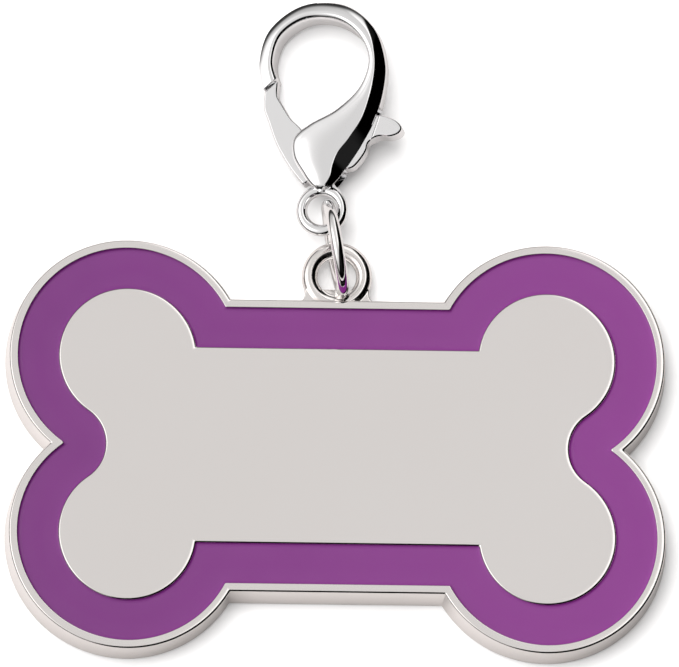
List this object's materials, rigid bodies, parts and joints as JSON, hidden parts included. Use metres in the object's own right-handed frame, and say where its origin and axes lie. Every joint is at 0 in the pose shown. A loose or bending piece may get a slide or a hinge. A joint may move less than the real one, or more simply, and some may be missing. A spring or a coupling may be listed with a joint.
{
  "type": "pet id tag with lobster clasp",
  "caption": "Bone-shaped enamelled metal pet ID tag with a plain panel, hung by a jump ring from a sprung lobster clasp.",
  "frame": {"origin": "centre of the tag's flat back face", "axes": "+Z out of the tag's enamelled face, +Y toward the eyelet and the clasp, +X across the tag to its right as seen from the front"},
  "size_m": [0.0504, 0.0507, 0.0075],
  "materials": {
    "tag_metal": "satin polished plate",
    "enamel": "smooth glossy enamel fill",
    "ring_metal": "bright plate",
    "clasp_chrome": "mirror bright plate",
    "lever_chrome": "mirror bright plate",
    "pin_steel": "plain steel",
    "spring_steel": "plain spring steel"
  },
  "bodies": {
    "tag": {"tag_body": "tag_metal", "enamel_band": "enamel"},
    "ring": {"jump_ring": "ring_metal"},
    "clasp": {"clasp_body": "clasp_chrome", "pivot_pin": "pin_steel", "lever_spring": "spring_steel"},
    "lever": {"clasp_lever": "lever_chrome"}
  },
  "joints": [
    {"name": "ring_swing", "type": "hinge", "parent": "tag", "child": "ring", "pos_m": [0, 0.01345, 0.00171], "axis": [0, 0, 1], "range_deg": [-50, 45]},
    {"name": "clasp_fold", "type": "hinge", "parent": "ring", "child": "clasp", "pos_m": [-0.00025, 0.01525, 0.00375], "axis": [0.9839, 0.1735, 0.0436], "range_deg": [0, 170]},
    {"name": "lever_press", "type": "hinge", "parent": "clasp", "child": "lever", "pos_m": [-0.00172, 0.0217, 0.00229], "axis": [0.225, 0, -0.9744], "range_deg": [0, 25], "stiffness_Nm_per_rad": 0.02, "springref_deg": -11.46, "deforming": ["lever_spring"]}
  ]
}
